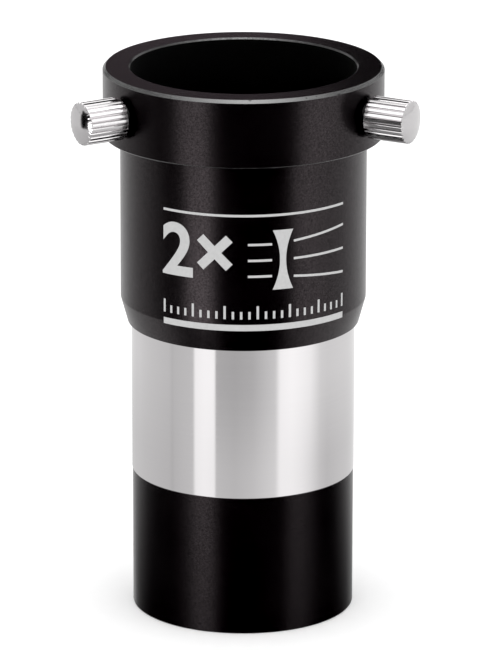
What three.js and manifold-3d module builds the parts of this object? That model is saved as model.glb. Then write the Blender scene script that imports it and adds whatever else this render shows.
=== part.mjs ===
// A 31.75 mm (1.25 inch) barlow lens. A chromed nosepiece carries a black eyepiece holder with two
// thumbscrews on top, and a black lens cell that unscrews from its lower end.
// Millimetres, +Z up along the optical axis, origin at the middle of the lens cell's lower face.
// The eyepiece goes in at the top, and the two thumbscrews stand 30 degrees forward (-Y) of the X axis.
import * as THREE from "three";
import { mergeVertices } from "three/addons/utils/BufferGeometryUtils.js";
import Module from "manifold-3d";

const wasm = await Module();
wasm.setup();

// ---- driving dimensions ----

const BARREL_DIAMETER = 31.75; // the 1.25 inch nosepiece standard
const CELL_DIAMETER = 31.6;
const CELL_HEIGHT = 20.2; // height of the joint between lens cell and nosepiece
const HOLDER_BOTTOM = 42.15; // shoulder that stops against a focuser
const BODY_DIAMETER = 34.9;
const TAPER_FOOT_DIAMETER = 32.9;
const TAPER_TOP = 45.75;
const COLLAR_BOTTOM = 69.5;
const COLLAR_DIAMETER = 39.75;
const TOTAL_HEIGHT = 79.25;

const EYEPIECE_BORE = 31.9; // takes a 31.75 mm eyepiece barrel
const SEAT_HEIGHT = 50; // ledge that stops the eyepiece barrel

const RIM_OUTER_CHAMFER = 0.45;
const RIM_INNER_CHAMFER = 0.25;
const COLLAR_LOWER_CHAMFER = 0.15;
const TUBE_EDGE_CHAMFER = 0.15;
const CELL_EDGE_CHAMFER = 0.3;
const THREAD_LEAD = 0.3; // lead-in chamfer on every thread

// threads are plain walls at their mean radius
const THREAD_GAP = 0.1;
const HOLDER_THREAD_R = 14.95;
const RECESS_R = 15.95; // the tube's full diameter enters the holder's foot by this recess
const RECESS_DEPTH = 0.8;
const CELL_THREAD_R = 14.3;
const CELL_NECK_LENGTH = 4.4;
const FILTER_THREAD_R = 14.1;
const FILTER_THREAD_DEPTH = 4.5;
const TUBE_BORE_R = 13.5;
const TUBE_NECK_TOP = 49.7;
const THREAD_RELIEF = 0.6; // space above the cell's neck when it is screwed home

const LIP_THICKNESS = 1;
const LIP_R = 12;
const POCKET_R = 12.85;

const LENS_R = 12.7;
const CLEAR_R = 12.2; // the polished zone; outside it each face has a flat rim
const FRONT_CURVE = 50; // radii of curvature, from the objective side up
const INNER_CURVE = 38;
const BACK_CURVE = 90;
const BICONCAVE_CENTRE = 1.6;
const MENISCUS_CENTRE = 3.2;
const SPACER_THICKNESS = 0.3;
const RING_R = 12.75;
const RING_BORE_R = 11.6;
const RING_HEIGHT = 2.5;
const SLOT_WIDTH = 1.6;
const SLOT_DEPTH = 1.2;

const SCREW_HEIGHT = 74.3;
const SCREW_AZIMUTHS = { right: -30, left: -150 };
const SCREW_THREAD_R = 2; // M4
const SCREW_CLEARANCE = 0.07;
const SCREW_MOUTH = 0.3; // countersink of each screw hole
const KNOB_R = 3.05;
const KNOB_INNER = 20.55; // screw parts are placed by their distance from the tube's axis
const KNOB_OUTER = 27; // top of the domed end
const KNOB_CHAMFER = 0.1;
const DOME_CURVE = 8.4; // radius of curvature of that end
const DOME_STEPS = 3;
const KNURL_TEETH = 26;
const KNURL_DEPTH = 0.25;
const STUD_INNER = 16.9;
const STUD_OUTER = 24.35;
const TIP_INNER = 16.05;
const TIP_R = 1.5;
const SPIGOT_R = 0.9;
const SPIGOT_LENGTH = 1.4;
const SLIP = 0.05; // gap between the screw parts that fit into one another

const ROUND = 72; // facets round the tube, shared by every part that nests in another
const LENS_ROUND = 48;
const SCREW_ROUND = 24;
const ARC_STEPS = 6;
const WELD = 1e-4; // vertices this close are one vertex

// ---- materials ----

const metal = (color, roughness) => new THREE.MeshStandardMaterial({ color, roughness, metalness: 1 });
const paint = (color, roughness) => new THREE.MeshStandardMaterial({ color, roughness, metalness: 0 });

const blackAnodised = () => paint(0x141315, 0.45);
const chrome = () => metal(0xd8d9da, 0.08);
const steel = () => metal(0xa9aaac, 0.3);
const nylon = () => paint(0xe8e6df, 0.6);
const glass = () =>
  new THREE.MeshStandardMaterial({ color: 0xc9dfd3, roughness: 0.02, transparent: true, opacity: 0.35 });

// ---- geometry helpers ----

// Turns an outline of [radius, height] points, listed anticlockwise, about the Z axis.
function turned(outline, facets) {
  const points = outline.map(([r, z]) => new THREE.Vector2(r, z));
  const onAxis = outline[0][0] === 0;
  const closed = onAxis ? points : [...points, points[0].clone()];
  return new THREE.LatheGeometry(closed, facets).rotateX(Math.PI / 2);
}

function disc(radius, low, high, facets) {
  return turned([[0, low], [radius, low], [radius, high], [0, high]], facets);
}

function toSolid(geometry) {
  const bare = geometry.clone();
  bare.deleteAttribute("normal");
  bare.deleteAttribute("uv");
  const merged = mergeVertices(bare, WELD);
  const kept = [];
  const index = merged.index.array;
  for (let i = 0; i < index.length; i += 3) {
    const [a, b, c] = [index[i], index[i + 1], index[i + 2]];
    if (a !== b && b !== c && c !== a) kept.push(a, b, c);
  }
  const mesh = new wasm.Mesh({
    numProp: 3,
    vertProperties: new Float32Array(merged.attributes.position.array),
    triVerts: new Uint32Array(kept),
  });
  return new wasm.Manifold(mesh);
}

function toGeometry(solid) {
  const mesh = solid.getMesh();
  const geometry = new THREE.BufferGeometry();
  geometry.setAttribute("position", new THREE.BufferAttribute(new Float32Array(mesh.vertProperties), 3));
  geometry.setIndex([...mesh.triVerts]);
  geometry.computeVertexNormals();
  return geometry;
}

function part(name, geometry, material) {
  const mesh = new THREE.Mesh(geometry, material);
  mesh.name = name;
  return mesh;
}

// Lays a shape built along +Z out along the screw's own radius.
function alongScrew(geometry, azimuth) {
  return geometry
    .rotateY(Math.PI / 2)
    .rotateZ(THREE.MathUtils.degToRad(azimuth))
    .translate(0, 0, SCREW_HEIGHT);
}

// ---- holder, tube and cell ----

function eyepieceHolder() {
  const bodyR = BODY_DIAMETER / 2;
  const footR = TAPER_FOOT_DIAMETER / 2;
  const collarR = COLLAR_DIAMETER / 2;
  const boreR = EYEPIECE_BORE / 2;
  const recessTop = HOLDER_BOTTOM + RECESS_DEPTH;
  const blank = turned(
    [
      [RECESS_R, HOLDER_BOTTOM],
      [footR - TUBE_EDGE_CHAMFER, HOLDER_BOTTOM],
      [footR, HOLDER_BOTTOM + TUBE_EDGE_CHAMFER],
      [bodyR, TAPER_TOP],
      [bodyR, COLLAR_BOTTOM],
      [collarR - COLLAR_LOWER_CHAMFER, COLLAR_BOTTOM],
      [collarR, COLLAR_BOTTOM + COLLAR_LOWER_CHAMFER],
      [collarR, TOTAL_HEIGHT - RIM_OUTER_CHAMFER],
      [collarR - RIM_OUTER_CHAMFER, TOTAL_HEIGHT],
      [boreR + RIM_INNER_CHAMFER, TOTAL_HEIGHT],
      [boreR, TOTAL_HEIGHT - RIM_INNER_CHAMFER],
      [boreR, SEAT_HEIGHT],
      [HOLDER_THREAD_R, SEAT_HEIGHT],
      [HOLDER_THREAD_R, recessTop + THREAD_LEAD],
      [HOLDER_THREAD_R + THREAD_LEAD, recessTop],
      [RECESS_R, recessTop],
    ],
    ROUND,
  );
  let solid = toSolid(blank);
  const beyond = 2;
  const mouthR = SCREW_THREAD_R + SCREW_MOUTH;
  for (const azimuth of Object.values(SCREW_AZIMUTHS)) {
    const drill = turned(
      [
        [0, boreR - beyond],
        [SCREW_THREAD_R, boreR - beyond],
        [SCREW_THREAD_R, collarR - SCREW_MOUTH],
        [mouthR, collarR],
        [mouthR, collarR + beyond],
        [0, collarR + beyond],
      ],
      SCREW_ROUND,
    );
    solid = solid.subtract(toSolid(alongScrew(drill, azimuth)));
  }
  return part("eyepiece_holder", toGeometry(solid), blackAnodised());
}

function barrelTube() {
  const tubeR = BARREL_DIAMETER / 2;
  const neckR = HOLDER_THREAD_R - THREAD_GAP;
  const shoulder = HOLDER_BOTTOM + RECESS_DEPTH;
  const threadTop = CELL_HEIGHT + CELL_NECK_LENGTH + THREAD_RELIEF;
  const outline = [
    [CELL_THREAD_R + THREAD_LEAD, CELL_HEIGHT],
    [tubeR - TUBE_EDGE_CHAMFER, CELL_HEIGHT],
    [tubeR, CELL_HEIGHT + TUBE_EDGE_CHAMFER],
    [tubeR, shoulder],
    [neckR, shoulder],
    [neckR, TUBE_NECK_TOP - THREAD_LEAD],
    [neckR - THREAD_LEAD, TUBE_NECK_TOP],
    [TUBE_BORE_R, TUBE_NECK_TOP],
    [TUBE_BORE_R, threadTop + (CELL_THREAD_R - TUBE_BORE_R)],
    [CELL_THREAD_R, threadTop],
    [CELL_THREAD_R, CELL_HEIGHT + THREAD_LEAD],
  ];
  return part("barrel_tube", turned(outline, ROUND), chrome());
}

const POCKET_FLOOR = FILTER_THREAD_DEPTH + LIP_THICKNESS;

function lensCell() {
  const cellR = CELL_DIAMETER / 2;
  const neckR = CELL_THREAD_R - THREAD_GAP;
  const neckTop = CELL_HEIGHT + CELL_NECK_LENGTH;
  const outline = [
    [FILTER_THREAD_R + THREAD_LEAD, 0],
    [cellR - CELL_EDGE_CHAMFER, 0],
    [cellR, CELL_EDGE_CHAMFER],
    [cellR, CELL_HEIGHT],
    [neckR, CELL_HEIGHT],
    [neckR, neckTop - THREAD_LEAD],
    [neckR - THREAD_LEAD, neckTop],
    [POCKET_R, neckTop],
    [POCKET_R, POCKET_FLOOR],
    [LIP_R, POCKET_FLOOR],
    [LIP_R, FILTER_THREAD_DEPTH],
    [FILTER_THREAD_R, FILTER_THREAD_DEPTH],
    [FILTER_THREAD_R, THREAD_LEAD],
  ];
  return part("lens_cell", turned(outline, ROUND), blackAnodised());
}

// ---- lens group: a biconcave and a meniscus with a spacer between them ----

// Height by which a spherical surface of this radius of curvature departs from its own vertex.
function sag(curve, r) {
  return curve - Math.sqrt(curve * curve - r * r);
}

// Points of a spherical face, from the axis to the edge of the polished zone. The vertex is at
// height z, and the face rises (side 1) or falls (side -1) towards its edge.
function polished(curve, vertexZ, side) {
  const points = [];
  for (let i = 0; i <= ARC_STEPS; i++) {
    const r = (CLEAR_R * i) / ARC_STEPS;
    points.push([r, vertexZ + side * sag(curve, r)]);
  }
  return points;
}

function lens(name, lower, upper, lowRim, highRim) {
  const outline = [...lower, [LENS_R, lowRim], [LENS_R, highRim], ...upper.reverse()];
  return part(name, turned(outline, LENS_ROUND), glass());
}

function lensGroup() {
  const frontSag = sag(FRONT_CURVE, CLEAR_R);
  const innerSag = sag(INNER_CURVE, CLEAR_R);
  const backSag = sag(BACK_CURVE, CLEAR_R);

  const biconcaveLow = POCKET_FLOOR;
  const frontVertex = biconcaveLow + frontSag;
  const biconcaveHigh = frontVertex + BICONCAVE_CENTRE + innerSag;
  const biconcave = lens(
    "biconcave_lens",
    polished(FRONT_CURVE, frontVertex, -1),
    polished(INNER_CURVE, frontVertex + BICONCAVE_CENTRE, 1),
    biconcaveLow,
    biconcaveHigh,
  );

  const meniscusLow = biconcaveHigh + SPACER_THICKNESS;
  const meniscusVertex = meniscusLow - innerSag;
  const meniscusHigh = meniscusVertex + MENISCUS_CENTRE + backSag;
  const meniscus = lens(
    "meniscus_lens",
    polished(INNER_CURVE, meniscusVertex, 1),
    polished(BACK_CURVE, meniscusVertex + MENISCUS_CENTRE, 1),
    meniscusLow,
    meniscusHigh,
  );

  const spacer = turned(
    [
      [CLEAR_R, biconcaveHigh],
      [LENS_R, biconcaveHigh],
      [LENS_R, meniscusLow],
      [CLEAR_R, meniscusLow],
    ],
    LENS_ROUND,
  );

  let ring = toSolid(
    turned(
      [
        [RING_BORE_R, meniscusHigh],
        [RING_R, meniscusHigh],
        [RING_R, meniscusHigh + RING_HEIGHT],
        [RING_BORE_R, meniscusHigh + RING_HEIGHT],
      ],
      LENS_ROUND,
    ),
  );
  // one bar across the ring's top cuts both spanner slots
  const bar = new THREE.BoxGeometry(3 * RING_R, SLOT_WIDTH, 2 * SLOT_DEPTH);
  bar.translate(0, 0, meniscusHigh + RING_HEIGHT);
  ring = ring.subtract(toSolid(bar));

  return [
    biconcave,
    part("lens_spacer", spacer, blackAnodised()),
    meniscus,
    part("lens_retaining_ring", toGeometry(ring), blackAnodised()),
  ];
}

// ---- thumbscrews: a knurled, domed knob on a threaded stud with a soft tip ----

function knurledKnob() {
  const outline = new THREE.Shape();
  const points = 2 * KNURL_TEETH;
  for (let i = 0; i < points; i++) {
    const r = i % 2 === 0 ? KNOB_R : KNOB_R - KNURL_DEPTH;
    const angle = (2 * Math.PI * i) / points;
    const place = [r * Math.cos(angle), r * Math.sin(angle)];
    if (i === 0) outline.moveTo(...place);
    else outline.lineTo(...place);
  }
  const length = KNOB_OUTER - KNOB_INNER;
  const star = new THREE.ExtrudeGeometry(outline, { depth: length, bevelEnabled: false });
  star.translate(0, 0, KNOB_INNER);

  // a plug with a chamfered and domed outer end, a little wider than the teeth elsewhere
  const spare = 0.5;
  const domeR = KNOB_R - KNOB_CHAMFER;
  const domeFoot = KNOB_OUTER - sag(DOME_CURVE, domeR);
  const dome = [];
  for (let i = DOME_STEPS; i >= 0; i--) {
    const r = (domeR * i) / DOME_STEPS;
    dome.push([r, KNOB_OUTER - sag(DOME_CURVE, r)]);
  }
  const plug = turned(
    [
      [0, KNOB_INNER - spare],
      [KNOB_R + spare, KNOB_INNER - spare],
      [KNOB_R + spare, domeFoot - KNOB_CHAMFER - spare],
      ...dome,
    ],
    2 * KNURL_TEETH,
  );
  const socket = disc(SCREW_THREAD_R, KNOB_INNER - spare, STUD_OUTER + SLIP, SCREW_ROUND);
  return toGeometry(toSolid(star).intersect(toSolid(plug)).subtract(toSolid(socket)));
}

function stud() {
  const studR = SCREW_THREAD_R - SCREW_CLEARANCE;
  const boreR = SPIGOT_R + SLIP;
  const boreEnd = STUD_INNER + SPIGOT_LENGTH + SLIP;
  return turned(
    [
      [0, boreEnd],
      [boreR, boreEnd],
      [boreR, STUD_INNER],
      [studR - THREAD_LEAD, STUD_INNER],
      [studR, STUD_INNER + THREAD_LEAD],
      [studR, STUD_OUTER],
      [0, STUD_OUTER],
    ],
    SCREW_ROUND,
  );
}

function softTip() {
  return turned(
    [
      [0, TIP_INNER],
      [TIP_R, TIP_INNER],
      [TIP_R, STUD_INNER - SLIP],
      [SPIGOT_R, STUD_INNER - SLIP],
      [SPIGOT_R, STUD_INNER + SPIGOT_LENGTH],
      [0, STUD_INNER + SPIGOT_LENGTH],
    ],
    SCREW_ROUND,
  );
}

function thumbscrew(side, azimuth) {
  return [
    part(`${side}_thumbscrew_knob`, alongScrew(knurledKnob(), azimuth), chrome()),
    part(`${side}_thumbscrew_stud`, alongScrew(stud(), azimuth), steel()),
    part(`${side}_thumbscrew_tip`, alongScrew(softTip(), azimuth), nylon()),
  ];
}

// ---- assembly ----

const barlow = new THREE.Group();
barlow.add(eyepieceHolder(), barrelTube(), lensCell(), ...lensGroup());
for (const [side, azimuth] of Object.entries(SCREW_AZIMUTHS)) {
  barlow.add(...thumbscrew(side, azimuth));
}

export default barlow;
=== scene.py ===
"""Looks for a 31.75 mm barlow lens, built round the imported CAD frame.

Pieces are turned from outlines given in millimetres as [radius, height]. Outside sizes come from the
CAD nodes' boxes, and the rest are named below.
"""

import math

import bmesh
import bpy
from mathutils import Matrix, Vector


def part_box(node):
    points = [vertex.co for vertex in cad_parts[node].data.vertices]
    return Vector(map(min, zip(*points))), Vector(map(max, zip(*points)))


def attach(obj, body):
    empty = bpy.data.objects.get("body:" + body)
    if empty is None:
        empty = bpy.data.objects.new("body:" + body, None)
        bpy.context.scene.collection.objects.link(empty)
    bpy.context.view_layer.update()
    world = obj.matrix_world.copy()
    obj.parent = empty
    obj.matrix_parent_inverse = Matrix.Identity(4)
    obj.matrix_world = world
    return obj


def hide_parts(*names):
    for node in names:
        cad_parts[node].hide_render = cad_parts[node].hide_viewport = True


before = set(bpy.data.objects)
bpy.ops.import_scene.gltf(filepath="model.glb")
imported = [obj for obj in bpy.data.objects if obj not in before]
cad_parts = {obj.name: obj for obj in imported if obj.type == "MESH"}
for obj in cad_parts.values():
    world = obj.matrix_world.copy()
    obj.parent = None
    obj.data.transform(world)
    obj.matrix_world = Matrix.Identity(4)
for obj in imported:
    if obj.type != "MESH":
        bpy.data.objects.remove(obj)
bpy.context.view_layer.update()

MM = 0.001

# ---- sizes, in millimetres ----


def box_mm(node):
    """A CAD node's lowest and highest corner, in millimetres."""
    low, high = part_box(node)
    return low / MM, high / MM


HOLDER_LOW, HOLDER_HIGH = box_mm("eyepiece_holder")
TUBE_LOW, TUBE_HIGH = box_mm("barrel_tube")
CELL_HIGH = box_mm("lens_cell")[1]
RING_LOW, RING_HIGH = box_mm("lens_retaining_ring")

COLLAR_R = HOLDER_HIGH.x
RIM = HOLDER_HIGH.z
FOOT = HOLDER_LOW.z
BODY_R = COLLAR_R - 2.425
FOOT_R = COLLAR_R - 3.425
TAPER_TOP = FOOT + 3.6
COLLAR_LOW = RIM - 9.75
COLLAR_LOWER_CHAMFER = 0.15
RIM_OUTER_CHAMFER = 0.45
RIM_INNER_CHAMFER = 0.25
BORE_R = 15.95
SEAT = FOOT + 7.85  # where the eyepiece barrel stops
HOLDER_THREAD_R = 14.95
RECESS_R = 15.95  # the nosepiece's full diameter enters the holder's foot here
RECESS_TOP = FOOT + 0.8

TUBE_R = TUBE_HIGH.x
TUBE_FOOT = TUBE_LOW.z
TUBE_TOP = TUBE_HIGH.z
TUBE_BORE_R = 13.5
TUBE_NECK_R = HOLDER_THREAD_R - 0.1
CELL_THREAD_R = 14.3
THREAD_TOP = TUBE_FOOT + 5.0

CELL_R = CELL_HIGH.x
CELL_TOP = TUBE_FOOT
NECK_TOP = CELL_HIGH.z
NECK_CREST_R = 14.2
NECK_ROOT_R = 13.87
FILTER_CREST_R = 13.9
FILTER_ROOT_R = 14.22
FILTER_DEPTH = 4.5
FINE_PITCH = 0.6
POCKET_R = 12.85
POCKET_FLOOR = FILTER_DEPTH + 1
LIP_R = 12.0

SCREW_HEIGHT = 74.3
SCREWS = {"right": -30, "left": -150}  # azimuths in degrees, from the X axis
SCREW_HOLE_R = 2.0
KNOB_R = 3.05
KNOB_INNER = 20.55  # screw parts are placed by their distance from the tube's axis
KNOB_OUTER = 27.0
DOME_CURVE = 8.4  # radius of curvature of the knob's outer end
KNURL_TEETH = 26
KNURL_DEPTH = 0.25
STUD_INNER = 16.9
STUD_OUTER = 24.35
STUD_CREST_R = 1.92
STUD_ROOT_R = 1.55
SHANK_R = 1.93
SPIGOT_HOLE = 1.45  # depth of the hole in the stud's end
SCREW_PITCH = 0.7
TIP_INNER = 16.05

ROUND = 256  # columns round each large piece
SMALL_ROUND = 64  # columns round each screw part
WELD = 1e-7  # metres


# ---- outlines ----


def rounded(corners, closed=False, steps=4):
    """Points [r, z, slot] along an outline whose corners are [r, z, fillet radius, slot].

    The slot is the place in the piece's list of materials of the wall that starts there.
    """
    points = []
    count = len(corners)
    most = 0.45  # of a side, so that two fillets on it never meet
    for i, (r, z, fillet, slot) in enumerate(corners):
        here = Vector((r, z))
        if fillet == 0 or (not closed and i in (0, count - 1)):
            points.append((r, z, slot))
            continue
        before = Vector(corners[i - 1][:2]) - here
        after = Vector(corners[(i + 1) % count][:2]) - here
        half = before.angle(after) / 2
        reach = min(fillet / math.tan(half), most * before.length, most * after.length)
        radius = reach * math.tan(half)
        centre = here + (before.normalized() + after.normalized()).normalized() * (radius / math.sin(half))
        start = here + before.normalized() * reach - centre
        end = here + after.normalized() * reach - centre
        sweep = start.angle(end)
        for k in range(steps + 1):
            t = k / steps
            spoke = (start * math.sin((1 - t) * sweep) + end * math.sin(t * sweep)) / math.sin(sweep)
            points.append((*(centre + spoke), slot))
    return points


def rings(points):
    """Rows of a turned surface that keep one radius and height all the way round."""
    return [(lambda angle, r=r, z=z: (r, z), slot) for r, z, slot in points]


def smoothstep(x):
    x = min(max(x, 0.0), 1.0)
    return x * x * (3 - 2 * x)


def thread(root, crest, end, low, high, pitch, slot=0, per_turn=8):
    """Rows, going up, of a right-hand thread that fades into a wall of radius end at both ends."""
    run_out = 0.4 * pitch

    def row(j):
        part = (j / per_turn) % 1
        slope = 1 - abs(2 * part - 1)
        rise = min(max(1.35 * slope - 0.15, 0), 1)  # clipped to a flat root and a flat crest
        wall = root + (crest - root) * rise

        def place(angle):
            z = low + pitch * (j / per_turn - 1 + angle / math.tau)
            z = min(max(z, low), high)
            fade = smoothstep((z - low) / run_out) * smoothstep((high - z) / run_out)
            return end + (wall - end) * fade, z

        return place, slot

    count = math.ceil((high - low) / pitch + 1) * per_turn + 1
    return [row(j) for j in range(count)]


def grooves(radius, depth, low, high, pitch, slot=0):
    """Rows, going up, of plain ring grooves cut into a wall to kill stray light."""
    count = int((high - low) / pitch)
    points = []
    for j in range(count):
        z = low + (high - low) * j / count
        points.append((radius, z, slot))
        points.append((radius + depth, z + pitch / 2, slot))
    return rings(points)


# ---- meshes ----


def turned(rows, steps=ROUND, closed=True, about=Matrix.Identity(4)):
    """A surface turned from rows about the Z axis, as a bmesh in metres."""
    bm = bmesh.new()
    columns = []
    for i in range(steps + 1):
        angle = math.tau * i / steps
        column = []
        for place, _ in rows:
            r, z = place(angle)
            column.append(bm.verts.new(Vector((r * math.cos(angle), r * math.sin(angle), z)) * MM))
        columns.append(column)
    last = len(rows) if closed else len(rows) - 1
    for a, b in zip(columns, columns[1:]):
        for j in range(last):
            k = (j + 1) % len(rows)
            face = bm.faces.new((a[j], b[j], b[k], a[k]))
            face.material_index = rows[j][1]
    bmesh.ops.remove_doubles(bm, verts=bm.verts, dist=WELD)
    bmesh.ops.recalc_face_normals(bm, faces=bm.faces)
    bm.transform(about)
    return bm


def new_object(name, bm, materials=()):
    """Turns a bmesh into a linked, smooth-shaded object, and frees it."""
    mesh = bpy.data.meshes.new(name)
    bm.to_mesh(mesh)
    bm.free()
    for item in materials:
        mesh.materials.append(item)
    mesh.polygons.foreach_set("use_smooth", [True] * len(mesh.polygons))
    ob = bpy.data.objects.new(name, mesh)
    bpy.context.scene.collection.objects.link(ob)
    return ob


def add_piece(name, bm, body, materials, nodes=(), crease=40):
    """Makes the bmesh a named piece that rides on a CAD body and stands for CAD nodes."""
    piece = new_object(name, bm, materials)
    piece.data.set_sharp_from_angle(angle=math.radians(crease))
    weighted = piece.modifiers.new("weighted", "WEIGHTED_NORMAL")
    weighted.keep_sharp = True
    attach(piece, body)
    if nodes:
        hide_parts(*nodes)
    return piece


def cut(bm, cutter):
    """The first bmesh with the second cut out of it."""
    blank = new_object("blank", bm)
    tool = new_object("tool", cutter)
    boolean = blank.modifiers.new("cut", "BOOLEAN")
    boolean.operation = "DIFFERENCE"
    boolean.solver = "EXACT"
    boolean.object = tool
    graph = bpy.context.evaluated_depsgraph_get()
    result = bmesh.new()
    result.from_mesh(blank.evaluated_get(graph).to_mesh())
    for ob in (blank, tool):
        bpy.data.objects.remove(ob)
    return result


def along_screw(azimuth):
    """Carries a shape built along +Z from the tube's axis onto the screw's own line."""
    turn = Matrix.Rotation(math.radians(azimuth), 4, "Z") @ Matrix.Rotation(math.pi / 2, 4, "Y")
    return Matrix.Translation((0, 0, SCREW_HEIGHT * MM)) @ turn


# ---- materials ----


class Shader:
    """A material or world with short calls for adding nodes."""

    def __init__(self, owner):
        owner.use_nodes = True
        self.tree = owner.node_tree

    def add(self, kind, settings=None, **inputs):
        node = self.tree.nodes.new(kind)
        for key, value in (settings or {}).items():
            setattr(node, key, value)
        for key, value in inputs.items():
            self.feed(node.inputs[int(key[1:]) if key[0] == "i" and key[1:].isdigit() else key], value)
        return node

    def feed(self, socket, value):
        if isinstance(value, bpy.types.NodeSocket):
            self.tree.links.new(value, socket)
        else:
            socket.default_value = value

    def math(self, operation, a, b=0.0):
        return self.add("ShaderNodeMath", {"operation": operation}, i0=a, i1=b).outputs[0]

    def scale(self, value, low, high, out_low=0.0, out_high=1.0, smooth=False):
        kind = {"interpolation_type": "SMOOTHSTEP" if smooth else "LINEAR"}
        node = self.add("ShaderNodeMapRange", kind, i0=value, i1=low, i2=high, i3=out_low, i4=out_high)
        return node.outputs[0]

    def mix(self, factor, a, b):
        node = self.add("ShaderNodeMix", {"data_type": "FLOAT"}, i0=factor, i2=a, i3=b)
        return node.outputs[0]

    def mix_colour(self, factor, a, b):
        node = self.add("ShaderNodeMix", {"data_type": "RGBA"}, i0=factor, i6=a, i7=b)
        return node.outputs[2]


def grey(value):
    return (value, value, value, 1)


def material(name):
    made = bpy.data.materials.new(name)
    shader = Shader(made)
    return made, shader, shader.tree.nodes["Principled BSDF"]


def turned_coordinates(shader):
    """Sockets for the way round (in metres at the tube's radius), height and radius of a point."""
    where = shader.add("ShaderNodeTexCoord").outputs["Object"]
    x, y, z = shader.add("ShaderNodeSeparateXYZ", i0=where).outputs
    angle = shader.math("ARCTAN2", y, x)
    squares = shader.math("ADD", shader.math("MULTIPLY", x, x), shader.math("MULTIPLY", y, y))
    radius = shader.math("SQRT", squares)
    return shader.math("MULTIPLY", angle, TUBE_R * MM), z, radius


def noise(shader, vector, scale, detail=2.0, rough=0.5):
    node = shader.add("ShaderNodeTexNoise", Scale=scale, Detail=detail, Roughness=rough)
    shader.feed(node.inputs["Vector"], vector)
    return node.outputs[0]


def stretched(shader, round_scale, height_scale):
    """Noise coordinates squeezed differently round the piece and up it, as turning marks are."""
    way, z, radius = turned_coordinates(shader)
    return shader.add(
        "ShaderNodeCombineXYZ",
        i0=shader.math("MULTIPLY", way, round_scale),
        i1=shader.math("MULTIPLY", z, height_scale),
        i2=shader.math("MULTIPLY", radius, height_scale),
    ).outputs[0]


def anodised(name, tone=0.0015, roughness=0.24, tint=(1.0, 0.85, 0.9, 1)):
    """Satin black anodising over turned aluminium: fine grain and faint turning rings."""
    made, shader, surface = material(name)
    where = shader.add("ShaderNodeTexCoord").outputs["Object"]
    grain = noise(shader, where, 7000, 3, 0.6)
    speckle = noise(shader, where, 4000, 3, 0.7)
    marks = noise(shader, stretched(shader, 60, 9000), 1.0, 2)
    patches = noise(shader, where, 90, 3)
    dark, light = (tone, tone * 0.9, tone, 1), (tone * 1.7, tone * 1.5, tone * 1.6, 1)
    colour = shader.mix_colour(shader.scale(patches, 0.35, 0.65), dark, light)
    shader.feed(surface.inputs["Base Color"], colour)
    uneven = shader.math("ADD", shader.math("MULTIPLY", grain, 0.10), shader.math("MULTIPLY", marks, 0.02))
    shader.feed(surface.inputs["Roughness"], shader.math("ADD", uneven, roughness - 0.06))
    shader.feed(surface.inputs["Specular IOR Level"], shader.scale(speckle, 0.3, 0.7, 0.22, 0.8))
    surface.inputs["Specular Tint"].default_value = tint
    height = shader.math("ADD", grain, shader.math("MULTIPLY", marks, 0.1))
    bump = shader.add("ShaderNodeBump", Strength=0.25, Distance=0.000012, Height=height)
    shader.feed(surface.inputs["Normal"], bump.outputs[0])
    return made


def worn_edge(name):
    """Chamfers cut bright before anodising: smoother than the rest, with small nicks and rubbed spots."""
    made, shader, surface = material(name)
    where = shader.add("ShaderNodeTexCoord").outputs["Object"]
    marks = noise(shader, stretched(shader, 900, 9000), 1.0, 3, 0.6)
    nicks = shader.scale(noise(shader, where, 1300, 2), 0.66, 0.72)
    rubbed = shader.scale(marks, 0.45, 0.7)
    shader.feed(surface.inputs["Base Color"], shader.mix_colour(rubbed, grey(0.004), grey(0.03)))
    shader.feed(surface.inputs["Specular IOR Level"], shader.scale(nicks, 0, 1, 0.86, 0.3))
    shader.feed(surface.inputs["Roughness"], shader.scale(marks, 0.3, 0.7, 0.2, 0.34))
    height = shader.math("SUBTRACT", marks, nicks)
    bump = shader.add("ShaderNodeBump", Strength=0.3, Distance=0.00001, Height=height)
    shader.feed(surface.inputs["Normal"], bump.outputs[0])
    return made


def matt_black(name, tone=0.002):
    """Matt black paint inside the tube."""
    made, shader, surface = material(name)
    where = shader.add("ShaderNodeTexCoord").outputs["Object"]
    grain = noise(shader, where, 4000, 3, 0.6)
    shader.feed(surface.inputs["Base Color"], shader.mix_colour(grain, grey(tone * 0.6), grey(tone * 1.4)))
    shader.feed(surface.inputs["Roughness"], shader.scale(grain, 0, 1, 0.65, 0.85))
    surface.inputs["Specular IOR Level"].default_value = 0.1
    bump = shader.add("ShaderNodeBump", Strength=0.4, Distance=0.00002, Height=grain)
    shader.feed(surface.inputs["Normal"], bump.outputs[0])
    return made


def painted_shade_in_mirrors(shader, tint):
    """The tint, but painted nearly black where it is mirrored from further off than its own grooves:
    painted shade that other pieces mirror beside the knob.
    """
    path = shader.add("ShaderNodeLightPath").outputs
    groove = 0.0006
    far = shader.math("GREATER_THAN", path["Ray Length"], groove)
    # grey(0.06) is the painted shade seen in other pieces' mirrored rays
    return shader.mix_colour(shader.math("MULTIPLY", path["Is Glossy Ray"], far), tint, grey(0.06))


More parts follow.
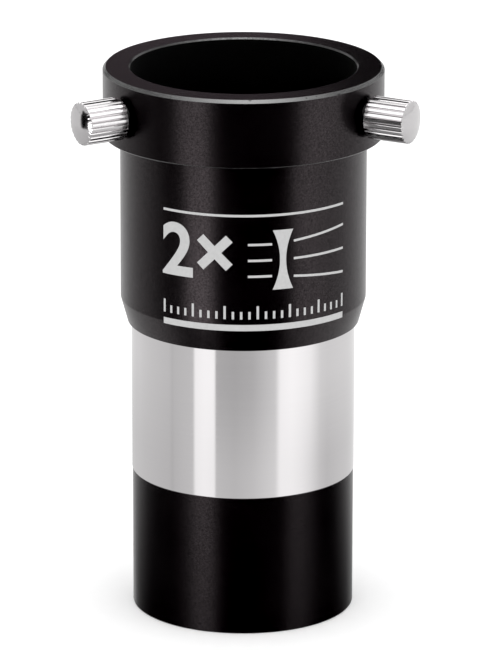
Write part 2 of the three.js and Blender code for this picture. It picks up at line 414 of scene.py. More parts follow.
def plated(name, tone=0.6, roughness=0.07, mirrored_as_painted_shade=False):
    """Bright plating over turned metal, with faint rings left by the lathe and soft smears; with the flag
    set, painted shade where other pieces mirror it.
    """
    made, shader, surface = material(name)
    marks = noise(shader, stretched(shader, 25, 5000), 1.0, 3, 0.6)
    where = shader.add("ShaderNodeTexCoord").outputs["Object"]
    smears = noise(shader, where, 120, 4, 0.55)
    tint = shader.mix_colour(
        marks, (tone * 0.98, tone * 0.955, tone * 0.965, 1), (tone * 1.01, tone * 0.985, tone * 0.995, 1)
    )
    # painted shade: the plating turns nearly black where another piece mirrors it
    if mirrored_as_painted_shade:
        tint = painted_shade_in_mirrors(shader, tint)
    shader.feed(surface.inputs["Base Color"], tint)
    surface.inputs["Metallic"].default_value = 1.0
    lathe_part = shader.scale(marks, 0.3, 0.7, -0.02, 0.03)
    smear_part = shader.scale(smears, 0.4, 0.7, 0.0, 0.04)
    uneven = shader.math("ADD", lathe_part, smear_part)
    shader.feed(surface.inputs["Roughness"], shader.math("ADD", uneven, roughness))
    bump = shader.add("ShaderNodeBump", Strength=0.08, Distance=0.000004, Height=marks)
    shader.feed(surface.inputs["Normal"], bump.outputs[0])
    return made


def steel(name):
    """Nearly black steel of the screw threads: painted shade for the dark gap between knob and collar."""
    made, shader, surface = material(name)
    where = shader.add("ShaderNodeTexCoord").outputs["Object"]
    grain = noise(shader, where, 3000, 3)
    # the near-black base colour is painted shade in the gap between knob and collar
    shader.feed(surface.inputs["Base Color"], shader.mix_colour(grain, grey(0.006), grey(0.012)))
    shader.feed(surface.inputs["Roughness"], shader.scale(grain, 0, 1, 0.3, 0.45))
    return made


def nylon(name):
    """Natural nylon of the screw tips."""
    made, shader, surface = material(name)
    where = shader.add("ShaderNodeTexCoord").outputs["Object"]
    grain = noise(shader, where, 1500, 3)
    shader.feed(
        surface.inputs["Base Color"], shader.mix_colour(grain, (0.72, 0.70, 0.63, 1), (0.82, 0.81, 0.75, 1))
    )
    shader.feed(surface.inputs["Roughness"], shader.scale(grain, 0, 1, 0.4, 0.55))
    return made


def coated_glass(name):
    """Optical glass under a thin anti-reflection film."""
    made, shader, surface = material(name)
    where = shader.add("ShaderNodeTexCoord").outputs["Object"]
    dust = noise(shader, where, 900, 2)
    surface.inputs["Base Color"].default_value = (0.96, 0.99, 0.97, 1)
    surface.inputs["Transmission Weight"].default_value = 1.0
    surface.inputs["IOR"].default_value = 1.52
    shader.feed(surface.inputs["Roughness"], shader.scale(dust, 0.3, 0.8, 0.0, 0.012))
    surface.inputs["Thin Film Thickness"].default_value = 115.0
    surface.inputs["Thin Film IOR"].default_value = 1.38
    return made


def ink(name):
    """Screen-printed white ink, slightly uneven."""
    made, shader, surface = material(name)
    where = shader.add("ShaderNodeTexCoord").outputs["Object"]
    grain = noise(shader, where, 2500, 3, 0.6)
    shader.feed(surface.inputs["Base Color"], shader.mix_colour(grain, grey(0.4), grey(0.52)))
    shader.feed(surface.inputs["Roughness"], shader.scale(grain, 0, 1, 0.45, 0.65))
    return made


HOLDER_BLACK = anodised("holder_anodised")
HOLDER_EDGE = worn_edge("holder_edge")
BORE_EDGE = anodised("bore_edge", tint=grey(1))
CELL_BLACK = anodised("cell_anodised")
INNER_BLACK = matt_black("inner_matt_black")
TUBE_CHROME = plated("tube_chrome")
# the knobs' plating carries painted shade where the collar mirrors it
KNOB_CHROME = plated("knob_chrome", tone=0.62, roughness=0.1, mirrored_as_painted_shade=True)
# the studs' near-black colour is painted shade in the gap under the knobs
STUD_STEEL = steel("stud_steel")
TIP_NYLON = nylon("tip_nylon")
LENS_GLASS = coated_glass("optical_glass")
INK = ink("white_ink")

# ---- holder ----


def build_holder():
    """The holder with its bore, screw holes and the recess in its foot."""
    outline = rounded(
        [
            (RECESS_R, FOOT, 0.04, 0),
            (FOOT_R, FOOT, 0.15, 0),
            (BODY_R, TAPER_TOP, 0.8, 0),
            (BODY_R, COLLAR_LOW, 0.12, 0),
            (COLLAR_R - COLLAR_LOWER_CHAMFER, COLLAR_LOW, 0.04, 2),
            (COLLAR_R, COLLAR_LOW + COLLAR_LOWER_CHAMFER, 0.04, 0),
            (COLLAR_R, RIM - RIM_OUTER_CHAMFER, 0.05, 2),
            (COLLAR_R - RIM_OUTER_CHAMFER, RIM, 0.05, 0),
            (BORE_R + RIM_INNER_CHAMFER, RIM, 0.06, 3),
            (BORE_R, RIM - RIM_INNER_CHAMFER, 0.06, 1),
            (BORE_R, SEAT, 0.1, 1),
            (HOLDER_THREAD_R, SEAT, 0.05, 1),
            (HOLDER_THREAD_R, RECESS_TOP, 0.05, 1),
            (RECESS_R, RECESS_TOP, 0.05, 1),
        ],
        closed=True,
    )
    solid = turned(rings(outline))
    mouth = 0.3  # chamfer at the screw holes' outer ends
    beyond = 2  # how far the drill reaches past the wall
    drill_outline = [
        (0, BORE_R - beyond, 1),
        (SCREW_HOLE_R, BORE_R - beyond, 1),
        (SCREW_HOLE_R, COLLAR_R - mouth, 1),
        (SCREW_HOLE_R + mouth, COLLAR_R, 1),
        (SCREW_HOLE_R + mouth, COLLAR_R + beyond, 1),
        (0, COLLAR_R + beyond, 1),
    ]
    for azimuth in SCREWS.values():
        drill = turned(rings(drill_outline), SMALL_ROUND, about=along_screw(azimuth))
        solid = cut(solid, drill)
    add_piece(
        "holder",
        solid,
        "barrel_assembly",
        [HOLDER_BLACK, INNER_BLACK, HOLDER_EDGE, BORE_EDGE],
        ["eyepiece_holder"],
    )


# ---- nosepiece ----


def build_tube():
    """The chromed tube with its neck, a grooved black bore and a plain bore below it where the cell screws
    in.
    """
    outside = rounded(
        [
            (CELL_THREAD_R + 0.3, TUBE_FOOT, 0, 0),
            (TUBE_R, TUBE_FOOT, 0.12, 0),
            (TUBE_R, RECESS_TOP, 0.05, 0),
            (TUBE_NECK_R, RECESS_TOP, 0.05, 1),
            (TUBE_NECK_R, TUBE_TOP, 0.2, 1),
            (TUBE_BORE_R, TUBE_TOP, 0, 1),
        ]
    )
    bore = grooves(TUBE_BORE_R, 0.25, THREAD_TOP + 1, TUBE_TOP - 0.3, pitch=0.75, slot=1)
    inside = rounded(
        [
            (TUBE_BORE_R, THREAD_TOP + 0.8, 0, 1),
            (CELL_THREAD_R, THREAD_TOP, 0, 1),
            (CELL_THREAD_R, TUBE_FOOT + 0.3, 0, 0),
        ]
    )
    rows = rings(outside) + bore[::-1] + rings(inside)
    add_piece(
        "nosepiece",
        turned(rows),
        "barrel_assembly",
        [TUBE_CHROME, INNER_BLACK],
        ["barrel_tube"],
    )


# ---- lens cell and optics ----


def build_cell():
    """The cell with its threaded neck, lens pocket, lip and filter thread."""
    outside = rounded(
        [
            (FILTER_ROOT_R + 0.15, 0, 0, 0),
            (CELL_R, 0, 0.25, 0),
            (CELL_R, CELL_TOP, 0.08, 0),
            (NECK_ROOT_R, CELL_TOP, 0, 0),
        ]
    )
    neck = thread(NECK_ROOT_R, NECK_CREST_R, NECK_ROOT_R, CELL_TOP + 0.2, NECK_TOP - 0.1, FINE_PITCH)
    top = rounded(
        [
            (NECK_ROOT_R, NECK_TOP, 0, 0),
            (POCKET_R, NECK_TOP, 0, 1),
        ]
    )
    pocket = grooves(POCKET_R, 0.2, RING_HIGH.z + 0.4, NECK_TOP - 0.3, pitch=0.5, slot=1)
    lip = rounded(
        [
            (POCKET_R, RING_HIGH.z, 0, 1),
            (POCKET_R, POCKET_FLOOR, 0, 1),
            (LIP_R, POCKET_FLOOR, 0.05, 1),
            (LIP_R, FILTER_DEPTH, 0.05, 1),
            (FILTER_ROOT_R, FILTER_DEPTH, 0, 0),
        ]
    )
    filters = thread(FILTER_ROOT_R, FILTER_CREST_R, FILTER_ROOT_R, 0.2, FILTER_DEPTH - 0.2, FINE_PITCH)
    rows = rings(outside) + neck + rings(top) + pocket[::-1] + rings(lip) + filters[::-1]
    add_piece(
        "cell",
        turned(rows),
        "cell_assembly",
        [CELL_BLACK, INNER_BLACK],
        ["lens_cell"],
    )


LENS_R = 12.7
CLEAR_R = 12.2  # of the polished faces
FRONT_CURVE = 50  # radii of curvature
INNER_CURVE = 38
BACK_CURVE = 90


def sag(curve, r):
    """How far a spherical face departs from its vertex at this radius."""
    return curve - math.sqrt(curve * curve - r * r)


def polished(curve, vertex, side):
    """A spherical face from the axis out, rising (side 1) or falling (side -1) from its vertex."""
    steps = 24
    radii = [CLEAR_R * i / steps for i in range(steps + 1)]
    return [(r, vertex + side * sag(curve, r), 0) for r in radii]


def build_lens(name, node, lower, upper):
    """A lens between two polished faces, with a ground and blackened edge."""
    edge = rounded(
        [
            (CLEAR_R + 0.1, lower[-1][1], 0, 1),
            (LENS_R, lower[-1][1], 0.12, 1),
            (LENS_R, upper[-1][1], 0.12, 1),
            (CLEAR_R + 0.1, upper[-1][1], 0, 0),
        ]
    )
    rows = rings(lower + edge + upper[::-1])
    element = turned(rows, ROUND // 2, closed=False)
    add_piece(name, element, "lens_group", [LENS_GLASS, INNER_BLACK], [node])


def build_optics():
    """Both lens elements; the thin spacer between them stays as the CAD made it."""
    low, high = box_mm("biconcave_lens")
    front = polished(FRONT_CURVE, low.z + sag(FRONT_CURVE, CLEAR_R), -1)
    inner = polished(INNER_CURVE, high.z - sag(INNER_CURVE, CLEAR_R), 1)
    build_lens("biconcave_element", "biconcave_lens", front, inner)

    spacer_top = box_mm("lens_spacer")[1].z
    meniscus_top = box_mm("meniscus_lens")[1].z
    inner = polished(INNER_CURVE, spacer_top - sag(INNER_CURVE, CLEAR_R), 1)
    back = polished(BACK_CURVE, meniscus_top - sag(BACK_CURVE, CLEAR_R), 1)
    build_lens("meniscus_element", "meniscus_lens", inner, back)


def build_ring():
    """The ring over the lenses, with a slot across it for a spanner."""
    inner_r = 11.6
    bevel = 0.5
    outline = rounded(
        [
            (inner_r, RING_LOW.z, 0.05, 0),
            (RING_HIGH.x, RING_LOW.z, 0.05, 0),
            (RING_HIGH.x, RING_HIGH.z, 0.08, 0),
            (inner_r + bevel, RING_HIGH.z, 0.05, 0),
            (inner_r, RING_HIGH.z - bevel, 0.05, 0),
        ],
        closed=True,
    )
    slot_width = 1.6
    slot_depth = 1.2
    cutter = bmesh.new()
    bmesh.ops.create_cube(cutter, size=1)
    cutter_size = Vector((3 * RING_HIGH.x, slot_width, 2 * slot_depth)) * MM
    cutter.transform(Matrix.Translation((0, 0, RING_HIGH.z * MM)) @ Matrix.Diagonal((*cutter_size, 1)))
    ring = cut(turned(rings(outline)), cutter)
    add_piece(
        "retaining_ring",
        ring,
        "cell_assembly",
        [INNER_BLACK],
        ["lens_retaining_ring"],
    )


# ---- thumbscrews ----


def knurled(radius):
    """How far out the knurl's surface lies at an angle: flat crests with sharp grooves between."""
    half_groove = 0.24  # as a part of the pitch

    def at(angle):
        part = (angle * KNURL_TEETH / math.tau) % 1
        into_groove = max(0, 1 - abs(part - 0.5) / half_groove)
        return radius - KNURL_DEPTH * into_groove

    return at


def build_knob(side, azimuth):
    """A knob turned from its socket round the stud, over its knurled side, to its domed end."""
    surface = knurled(KNOB_R)
    corner = 0.1  # fillet between side and dome
    inner_edge = 0.02  # chamfer at the collar's end
    lean = math.asin((KNOB_R - corner) / (DOME_CURVE - corner))
    corner_z = KNOB_OUTER - DOME_CURVE + (DOME_CURVE - corner) * math.cos(lean)
    steps = 10
    profile = [(KNOB_R, KNOB_INNER + inner_edge)]
    for k in range(steps + 1):
        slope = math.pi / 2 + (lean - math.pi / 2) * k / steps
        profile.append((KNOB_R - corner + corner * math.sin(slope), corner_z + corner * math.cos(slope)))
    for k in range(steps):
        slope = lean * (1 - (k + 1) / steps)
        profile.append((DOME_CURVE * math.sin(slope), KNOB_OUTER - DOME_CURVE * (1 - math.cos(slope))))

    def row(r, z):
        return (lambda angle: (min(r, surface(angle)), z)), 0

    socket = rings(
        [
            (0, STUD_OUTER + 0.05, 0),
            (SCREW_HOLE_R, STUD_OUTER + 0.05, 0),
            (SCREW_HOLE_R, KNOB_INNER + 0.2, 0),
            (SCREW_HOLE_R + 0.2, KNOB_INNER, 0),
        ]
    )
    rim = [row(KNOB_R - inner_edge, KNOB_INNER)]
    rows = socket + rim + [row(r, z) for r, z in profile]
    columns_per_tooth = 16
    knob = turned(rows, KNURL_TEETH * columns_per_tooth, closed=False, about=along_screw(azimuth))
    add_piece(
        f"{side}_knob",
        knob,
        f"{side}_screw",
        [KNOB_CHROME],
        [f"{side}_thumbscrew_knob"],
        crease=28,
    )


def build_stud(side, azimuth):
    """A threaded stud, with a hole in its inner end for the tip's spigot."""
    bore_r = 0.95
    bore_end = STUD_INNER + SPIGOT_HOLE
    inner = rings(
        [
            (0, bore_end, 0),
            (bore_r, bore_end, 0),
            (bore_r, STUD_INNER, 0),
            (STUD_ROOT_R - 0.1, STUD_INNER, 0),
            (STUD_ROOT_R, STUD_INNER + 0.1, 0),
        ]
    )
    thread_end = KNOB_INNER + 0.6
    threaded = thread(
        STUD_ROOT_R, STUD_CREST_R, STUD_ROOT_R, STUD_INNER + 0.12, thread_end, SCREW_PITCH
    )
    shank = rings([(SHANK_R, thread_end + 0.1, 0), (SHANK_R, STUD_OUTER, 0), (0, STUD_OUTER, 0)])
    stud = turned(inner + threaded + shank, SMALL_ROUND, closed=False, about=along_screw(azimuth))
    add_piece(
        f"{side}_stud",
        stud,
        f"{side}_screw",
        [STUD_STEEL],
        [f"{side}_thumbscrew_stud"],
    )


def build_tip(side, azimuth):
    """A tip whose head bears on the eyepiece and whose spigot sits in the stud."""
    head_r = 1.5
    spigot_r = 0.9
    slip = 0.05
    head_top = STUD_INNER - slip
    spigot_top = STUD_INNER + SPIGOT_HOLE - slip
    outline = rounded(
        [
            (0, TIP_INNER, 0, 0),
            (head_r, TIP_INNER, 0.2, 0),
            (head_r, head_top, 0.05, 0),
            (spigot_r, head_top, 0, 0),
            (spigot_r, spigot_top, 0.1, 0),
            (0, spigot_top, 0, 0),
        ]
    )
    tip = turned(rings(outline), SMALL_ROUND, closed=False, about=along_screw(azimuth))
    add_piece(f"{side}_tip", tip, f"{side}_tip", [TIP_NYLON], [f"{side}_thumbscrew_tip"])


# ---- print on the holder: a magnification mark, a lens with rays, and rules ----

PRINT_HEIGHT = 53.7  # middle of the print, above the origin
PRINT_TURN = 5.1  # degrees right of the front
PRINT_WIDTH = 28.2
INK_THICKNESS = 0.015
LINE = 0.34


def bar(bm, left, right, low, high):
    """An upright rectangle of the flat print, which is drawn in millimetres from its middle."""
    corners = [(left, low), (right, low), (right, high), (left, high)]
    bm.faces.new([bm.verts.new((x, y, 0)) for x, y in corners])


def stroke(bm, start, end):
    """A straight line of the flat print."""
    a, b = Vector(start), Vector(end)
    side = (b - a).normalized().orthogonal() * LINE / 2
    bm.faces.new([bm.verts.new((*p, 0)) for p in (a - side, b - side, b + side, a + side)])


def lens_symbol(bm, x, y, width, height, waist):
    """A filled biconcave outline."""
    steps = 12
    curve = []
    for k in range(steps + 1):
        v = -1 + 2 * k / steps
        curve.append((waist / 2 + (width - waist) / 2 * v * v, y + height / 2 * v))
    for (w0, y0), (w1, y1) in zip(curve, curve[1:]):
        corners = [(x - w0, y0), (x + w0, y0), (x + w1, y1), (x - w1, y1)]
        bm.faces.new([bm.verts.new((*p, 0)) for p in corners])


def figures(text, size, x, y):
    """Plain figures from Blender's own font, as a flat mesh."""
    curve = bpy.data.curves.new("figures", "FONT")
    curve.body = text
    curve.size = size
    curve.offset = size * 0.022
    curve.align_x = "CENTER"
    curve.align_y = "CENTER"
    ob = bpy.data.objects.new("figures", curve)
    bpy.context.scene.collection.objects.link(ob)
    graph = bpy.context.evaluated_depsgraph_get()
    mesh = bpy.data.meshes.new_from_object(ob.evaluated_get(graph))
    bpy.data.objects.remove(ob)
    mesh.transform(Matrix.Translation((x, y, 0)))
    return mesh


def draw_scale(bm, half):
    """Rules above and below, and a row of ticks, every fourth one taller."""
    for low, high in ((8.2, 8.55), (-8.3, -7.4)):
        bar(bm, -half, half, low, high)
    ticks = 24
    foot = -6.6
    for k in range(ticks + 1):
        x = -half + LINE / 2 + (PRINT_WIDTH - LINE) * k / ticks
        tall = 1.9 if k % 4 == 0 else 1.1
        bar(bm, x - LINE / 2, x + LINE / 2, foot, foot + tall)


def draw_lens(bm, half):
    """The lens symbol, with three level rays on its left that it spreads on its right."""
    lens_x = 3.6
    middle = 1.9
    clear = 1.6
    lens_symbol(bm, lens_x, middle, width=3.0, height=8.6, waist=0.9)
    for k in (-1, 0, 1):
        y = middle + 2.3 * k
        stroke(bm, (lens_x - 5.0, y), (lens_x - clear, y))
        stroke(bm, (lens_x + clear, y + 0.25 * k), (half, y + 1.15 * k))


def wrap_print(bm):
    """Cuts the flat print into narrow strips, wraps it round the body and gives it thickness."""
    step = 0.3
    strips = int(PRINT_WIDTH / 2 / step)
    for k in range(-strips, strips + 1):
        geometry = bm.verts[:] + bm.edges[:] + bm.faces[:]
        bmesh.ops.bisect_plane(bm, geom=geometry, plane_co=(k * step, 0, 0), plane_no=(1, 0, 0))
    bmesh.ops.remove_doubles(bm, verts=bm.verts, dist=0.001)

    front = math.radians(-90 + PRINT_TURN)
    sheet = BODY_R + 0.004

    def wrapped(v, out):
        angle = front + v.co.x / sheet
        r = sheet + out
        return Vector((r * math.cos(angle), r * math.sin(angle), PRINT_HEIGHT + v.co.y)) * MM

    top = bmesh.ops.extrude_face_region(bm, geom=bm.faces[:])["geom"]
    raised = {g for g in top if isinstance(g, bmesh.types.BMVert)}
    for v in bm.verts:
        v.co = wrapped(v, INK_THICKNESS if v in raised else 0.0)
    bmesh.ops.recalc_face_normals(bm, faces=bm.faces)

    # left alone, the order of these faces changes from run to run
    order = sorted(bm.faces, key=lambda face: tuple(face.calc_center_median()))
    place = {face: k for k, face in enumerate(order)}
    bm.faces.sort(key=lambda face: place[face])


def build_print():
    """All of the print, as one thin skin of ink."""
    bm = bmesh.new()
    half = PRINT_WIDTH / 2
    draw_scale(bm, half)
    bm.from_mesh(figures("2×", size=10.5, x=-half + 5.4, y=2.4))
    draw_lens(bm, half)
    wrap_print(bm)
    add_piece("holder_print", bm, "barrel_assembly", [INK])


# ---- studio, in metres ----

FLOOR_R = 3.0
DIFFUSE_LIGHT = 1.4  # even light for matt surfaces


def build_floor():
    """A pale floor that curves up far away, seen by the camera but not mirrored in the part."""
    sweep = 0.5
    steps = 8
    outline = [(0, 0, 0), (FLOOR_R, 0, 0)]
    for k in range(1, steps + 1):
        turn = math.pi / 2 * k / steps
        outline.append((FLOOR_R + sweep * math.sin(turn), sweep * (1 - math.cos(turn)), 0))
    made, shader, surface = material("floor_paper")
    where = shader.add("ShaderNodeTexCoord").outputs["Object"]
    fibre = noise(shader, where, 300, 2)
    shader.feed(surface.inputs["Base Color"], shader.mix_colour(fibre, grey(0.93), grey(0.95)))
    surface.inputs["Roughness"].default_value = 0.9
    surface.inputs["Specular IOR Level"].default_value = 0.0
    rows = rings([(r / MM, z / MM, slot) for r, z, slot in outline])
    floor = new_object("floor", turned(rows, 96, closed=False), [made])
    floor.visible_glossy = False
    floor.visible_shadow = False


def mirrored_way(shader):
    """Azimuth, in degrees right of the front, and elevation of the ray that left the part."""
    incoming = shader.add("ShaderNodeNewGeometry").outputs["Incoming"]
    x, y, z = shader.add("ShaderNodeSeparateXYZ", i0=incoming).outputs
    azimuth = shader.math("DEGREES", shader.math("ARCTAN2", shader.math("MULTIPLY", x, -1.0), y))
    elevation = shader.math("DEGREES", shader.math("ARCSINE", shader.math("MULTIPLY", z, -1.0)))
    return azimuth, elevation


def levels(shader, value, stops):
    """Brightness that runs in straight lines between stops of [value, level]."""
    peak = max(level for _, level in stops)
    first, last = stops[0][0], stops[-1][0]
    node = shader.add("ShaderNodeValToRGB", i0=shader.scale(value, first, last))
    elements = node.color_ramp.elements
    elements.remove(elements[1])
    for k, (at, level) in enumerate(stops):
        position = (at - first) / (last - first)
        element = elements[0] if k == 0 else elements.new(position)
        element.position = position
        element.color = grey(level / peak)
    return shader.math("MULTIPLY", node.outputs[0], peak)


# What each group of pieces sees mirrored below the horizon: distances from the axis in metres, then
# stops of azimuth and the level at each of those distances. White paper is 1.
REFLECTORS = {
    "tube_reflector": (
        ["nosepiece"],
        (0.088, 0.134),
        [
            (-180, 0.40, 0.80),
            (-165, 0.75, 0.88),
            (-136, 0.83, 0.96),
            (-112, 0.81, 0.90),
            (-84, 0.76, 0.83),
            (-80, 0.69, 0.75),
            (-78, 0.75, 0.79),
            (-66, 0.81, 0.82),
            (-54, 0.85, 0.85),
            (-53, 1.38, 1.45),
            (-42, 1.45, 1.53),
            (-31, 1.40, 1.53),
            (-30.5, 0.84, 0.67),
            (-10, 0.78, 0.62),
            (8, 0.86, 0.68),
            (20, 0.96, 0.82),
            (32, 1.05, 0.95),
            (37, 1.43, 1.48),
            (50, 1.43, 1.57),
            (62, 1.33, 1.50),
            (72, 1.17, 1.42),
            (86, 0.89, 1.05),
            (96, 0.81, 1.01),
            (118, 0.87, 1.03),
            (165, 0.90, 1.00),
            (180, 0.75, 0.86),
        ],
    ),
    "holder_reflector": (
        ["holder"],
        (0.05, 0.14, 0.27),
        [
            (-180, 0.70, 0.92, 0.92),
            (-145, 0.75, 0.82, 0.82),
            (-125, 0.80, 0.60, 0.65),
            (-107, 0.80, 0.47, 0.48),
            (-95, 0.70, 0.33, 0.33),
            (-85, 0.50, 0.20, 0.18),
            (-75, 0.30, 0.08, 0.05),
            (-60, 0.10, 0.12, 0.08),
            (-52, 0.05, 2.30, 1.05),
            (-34, 0.05, 2.50, 1.25),
            (-28, 0.00, 0.15, 0.10),
            (-22, 0.00, 0.00, 0.00),
            (42, 0.00, 0.00, 0.00),
            (49, 0.20, 0.85, 0.95),
            (62, 0.40, 0.97, 1.02),
            (85, 0.70, 0.70, 0.68),
            (95, 0.75, 0.61, 0.64),
            (110, 0.80, 0.62, 0.66),
            (125, 0.80, 0.75, 0.80),
            (150, 0.80, 0.87, 0.85),
            (180, 0.70, 0.92, 0.92),
        ],
    ),
    "cell_reflector": (
        ["cell"],
        (0.015, 0.08),
        [
            (-180, 0.90, 0.85),
            (-162, 0.75, 0.78),
            (-150, 0.22, 0.58),
            (-135, 0.08, 0.42),
            (-120, 0.02, 0.16),
            (-105, 0.02, 0.06),
            (-78, 0.01, 0.03),
            (-67, 0.05, 0.12),
            (-58, 0.18, 0.34),
            (-53, 0.50, 0.78),
            (-44, 0.60, 0.95),
            (-36, 0.60, 0.95),
            (-30, 0.12, 0.25),
            (-25, 0.00, 0.00),
            (42, 0.00, 0.00),
            (50, 0.20, 0.42),
            (58, 0.26, 0.50),
            (66, 0.17, 0.35),
            (77, 0.05, 0.11),
            (88, 0.00, 0.00),
            (110, 0.00, 0.04),
            (125, 0.02, 0.28),
            (140, 0.10, 0.56),
            (155, 0.30, 0.80),
            (180, 0.90, 0.95),
        ],
    ),
    "left_knob_reflector": (
        ["left_knob"],
        (0.04, 0.25, 0.275),
        [
            (-180, 0.60, 0.75, 0.80),
            (-110, 0.55, 0.75, 0.80),
            (-106, 0.55, 0.72, 0.00),
            (-66, 0.50, 0.65, 0.00),
            (-62, 0.45, 0.50, 0.30),
            (-30, 0.40, 0.40, 0.30),
            (20, 0.40, 0.50, 0.40),
            (40, 0.45, 1.20, 1.30),
            (80, 0.45, 1.20, 1.30),
            (100, 0.50, 0.90, 0.90),
            (180, 0.60, 0.75, 0.80),
        ],
    ),
    "right_knob_reflector": (
        ["right_knob"],
        (0.05, 0.25),
        [
            (-180, 0.50, 0.90),
            (-110, 0.45, 0.30),
            (-100, 0.35, 0.12),
            (-36, 0.33, 0.12),
            (0, 0.35, 0.20),
            (40, 0.50, 0.60),
            (60, 0.70, 0.95),
            (140, 0.75, 1.00),
            (180, 0.50, 0.90),
        ],
    ),
}


def light_only(ob, pieces):
    """Lets a light or a glowing sheet light only these pieces."""
    receivers = bpy.data.collections.new(ob.name)
    for piece in pieces:
        receivers.objects.link(bpy.data.objects[piece])
    ob.light_linking.receiver_collection = receivers


def show_in_mirrors(ob, pieces):
    """Makes a glowing sheet part of the studio that only these pieces' mirrored rays see."""
    ob.visible_camera = False
    ob.visible_diffuse = False
    ob.visible_transmission = False
    ob.visible_shadow = False
    light_only(ob, pieces)


def glowing(name):
    """A new material without its surface, and its output socket, for a sheet that isn't sampled."""
    made = bpy.data.materials.new(name)
    made.cycles.emission_sampling = "NONE"
    shader = Shader(made)
    shader.tree.nodes.remove(shader.tree.nodes["Principled BSDF"])
    return made, shader, shader.tree.nodes["Material Output"].inputs["Surface"]


def build_reflectors():
    """Glowing sheets just under the floor, each seen only in the mirrored rays of its own pieces."""
    for k, (name, (seen_by, distances, stops)) in enumerate(REFLECTORS.items()):
        made, shader, surface = glowing(name)
        azimuth, _ = mirrored_way(shader)
        where = shader.add("ShaderNodeNewGeometry").outputs["Position"]
        distance = shader.add("ShaderNodeVectorMath", {"operation": "LENGTH"}, i0=where).outputs[1]
        at_distance = []
        for i in range(len(distances)):
            at_distance.append(levels(shader, azimuth, [(at, row[i]) for at, *row in stops]))
        level = at_distance[0]
        for near, far, away in zip(distances, distances[1:], at_distance[1:]):
            level = shader.mix(shader.scale(distance, near, far), level, away)
        glow = shader.add("ShaderNodeEmission", Strength=level).outputs[0]
        clear = shader.add("ShaderNodeBsdfTransparent").outputs[0]
        both = shader.add("ShaderNodeAddShader", i0=glow, i1=clear).outputs[0]
        shader.feed(surface, both)

        depth = -0.2 * (k + 1)
        disc = rings([(0, depth, 0), (FLOOR_R / MM, depth, 0)])
        sheet = new_object(name, turned(disc, 48, closed=False), [made])
        show_in_mirrors(sheet, seen_by)


CARD_TINT = (1.0, 0.8, 0.9, 1)


def build_back_card():
    """A dim card behind the part, mirrored by the top rim: darker upward and toward the right."""
    behind = 0.15
    low, high = RIM * MM + 0.01, RIM * MM + 0.25
    left, right = -0.04, 0.06
    corners = [(left, low), (right, low), (right, high), (left, high)]
    bm = bmesh.new()
    bm.faces.new([bm.verts.new((x, behind, z)) for x, z in corners])
    made, shader, surface = glowing("back_card")
    where = shader.add("ShaderNodeNewGeometry").outputs["Position"]
    x, _, z = shader.add("ShaderNodeSeparateXYZ", i0=where).outputs
    across_stops = [(left, 0.5), (-0.012, 1.0), (0.009, 1.0), (0.015, 0.5), (0.022, 0.05), (right, 0.0)]
    up_stops = [(low, 0.16), (low + 0.022, 0.16), (low + 0.042, 0.05), (high, 0.04)]
    level = shader.math("MULTIPLY", levels(shader, x, across_stops), levels(shader, z, up_stops))
    glow = shader.add("ShaderNodeEmission", Strength=level, Color=CARD_TINT).outputs[0]
    shader.feed(surface, glow)
    show_in_mirrors(new_object("back_card", bm, [made]), ["holder"])


def band(shader, value, low, high, soft):
    """1 between low and high, with edges softened over soft."""
    rise = shader.scale(value, low - soft / 2, low + soft / 2, smooth=True)
    fall = shader.scale(value, high - soft / 2, high + soft / 2, 1.0, 0.0, smooth=True)
    return shader.math("MULTIPLY", rise, fall)


# Panels mirrored above the horizon, each laid over the last: azimuth span in degrees right of the
# front, elevation span, level and softness.
PANELS = [
    (-190, 190, -2, 95, 0.06, 2),  # walls
    (-150, -66, 9, 60, 0.9, 6),
    (66, 150, 9, 60, 1.0, 6),
    (-150, -116, -1.2, 12, 0.75, 0.5),
    (75, 150, -1.2, 12, 0.9, 0.5),
    (-190, -148, -1.2, 7, 0.9, 2),  # low behind
    (150, 190, -1.2, 7, 0.5, 2),
    (-68, -36, 12, 60, 1.9, 2),  # left strip
    (40, 75, -2, 60, 1.7, 2),  # right strip
    (-36, 40, -2, 35, 0.02, 2),  # dark round the camera
    (-118, -62, -1.2, 12, 0.75, 0.5),  # low at the left, with a dark gap
    (-106, -66, -2, 4, 0.0, 2),
]
LAMP_WAY = (10, 74)  # azimuth and elevation of the lamp overhead
LAMP = [(0, 7.0), (5, 6.8), (27, 3.3), (36, 2.4), (51, 0.7), (62, 0.0)]  # angle from it, level


def toward(azimuth, elevation):
    """The unit vector that points this way, in degrees right of the front and above level."""
    a, e = math.radians(azimuth), math.radians(elevation)
    return Vector((math.sin(a) * math.cos(e), -math.cos(a) * math.cos(e), math.sin(e)))


def build_world():
    """Even white light for matt surfaces, and the panels above for mirrored rays."""
    world = bpy.data.worlds.new("studio")
    bpy.context.scene.world = world
    shader = Shader(world)
    background = shader.tree.nodes["Background"]
    background.inputs["Color"].default_value = grey(1.0)
    azimuth, elevation = mirrored_way(shader)
    level = 0.0
    for left, right, low, high, brightness, soft in PANELS:
        across = band(shader, azimuth, left, right, soft)
        up = band(shader, elevation, low, high, soft)
        level = shader.mix(shader.math("MULTIPLY", across, up), level, brightness)
    incoming = shader.add("ShaderNodeNewGeometry").outputs["Incoming"]
    lamp = -toward(*LAMP_WAY)
    dot = {"operation": "DOT_PRODUCT"}
    facing = shader.add("ShaderNodeVectorMath", dot, i0=incoming, i1=lamp).outputs[1]
    angle = shader.math("DEGREES", shader.math("ARCCOSINE", facing))
    level = shader.math("MAXIMUM", level, levels(shader, angle, LAMP))
    mirrored = shader.add("ShaderNodeLightPath").outputs["Is Glossy Ray"]
    shader.feed(background.inputs["Strength"], shader.mix(mirrored, DIFFUSE_LIGHT, level))
    world.cycles.sampling_method = "NONE"


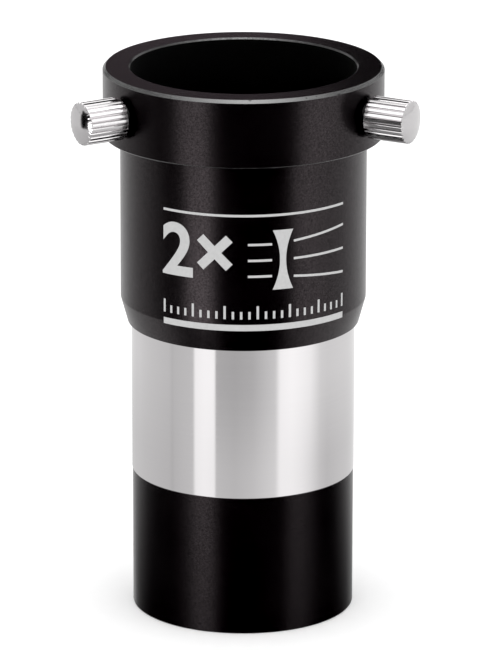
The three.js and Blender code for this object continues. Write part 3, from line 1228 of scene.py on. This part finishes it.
def build_spot():
    """A round light that only the left knob mirrors."""
    distance = 0.6
    light = bpy.data.lights.new("spot", "AREA")
    light.shape = "DISK"
    light.size = 0.17
    light.energy = 0.4
    spot = bpy.data.objects.new("spot", light)
    bpy.context.scene.collection.objects.link(spot)
    azimuth = math.radians(SCREWS["left"])
    knob = Vector((KNOB_INNER * math.cos(azimuth), KNOB_INNER * math.sin(azimuth), SCREW_HEIGHT)) * MM
    out = toward(-78, -13)
    spot.location = knob + out * distance
    spot.rotation_mode = "QUATERNION"
    spot.rotation_quaternion = out.to_track_quat("Z", "Y")
    light_only(spot, ["left_knob"])


BLACK_LEVEL = 0.0035
CAMERA_DISTANCE = 0.861
CAMERA_AZIMUTH = -1.58
CAMERA_ELEVATION = 16.73
CAMERA_ROLL = 0.092
CAMERA_LENS = 334.5
TARGET = Vector((0.00004, 0, 0.04106))


def build_camera():
    """A long lens some way off, aimed at the middle of the part and tilted by a hair."""
    data = bpy.data.cameras.new("camera")
    data.lens = CAMERA_LENS
    data.sensor_width = 36
    data.clip_start = 0.05
    camera = bpy.data.objects.new("camera", data)
    bpy.context.scene.collection.objects.link(camera)
    out = toward(CAMERA_AZIMUTH, CAMERA_ELEVATION)
    camera.location = TARGET + out * CAMERA_DISTANCE
    camera.rotation_mode = "QUATERNION"
    roll = Matrix.Rotation(math.radians(CAMERA_ROLL), 3, "Z").to_quaternion()
    camera.rotation_quaternion = out.to_track_quat("Z", "Y") @ roll
    bpy.context.scene.camera = camera


def build_studio():
    """Floor, lights and camera, and how the picture's levels are shown."""
    build_floor()
    build_world()
    build_reflectors()
    build_back_card()
    build_spot()
    build_camera()
    scene = bpy.context.scene
    scene.view_settings.view_transform = "Standard"
    scene.view_settings.look = "None"
    scene.view_settings.use_curve_mapping = True
    scene.view_settings.curve_mapping.black_level = [BLACK_LEVEL] * 3
    scene.view_settings.curve_mapping.update()


# ---- everything ----

build_holder()
build_tube()
build_cell()
build_optics()
build_ring()
for side, azimuth in SCREWS.items():
    build_knob(side, azimuth)
    build_stud(side, azimuth)
    build_tip(side, azimuth)
build_print()
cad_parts["lens_spacer"].data.materials.clear()
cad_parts["lens_spacer"].data.materials.append(INNER_BLACK)
build_studio()
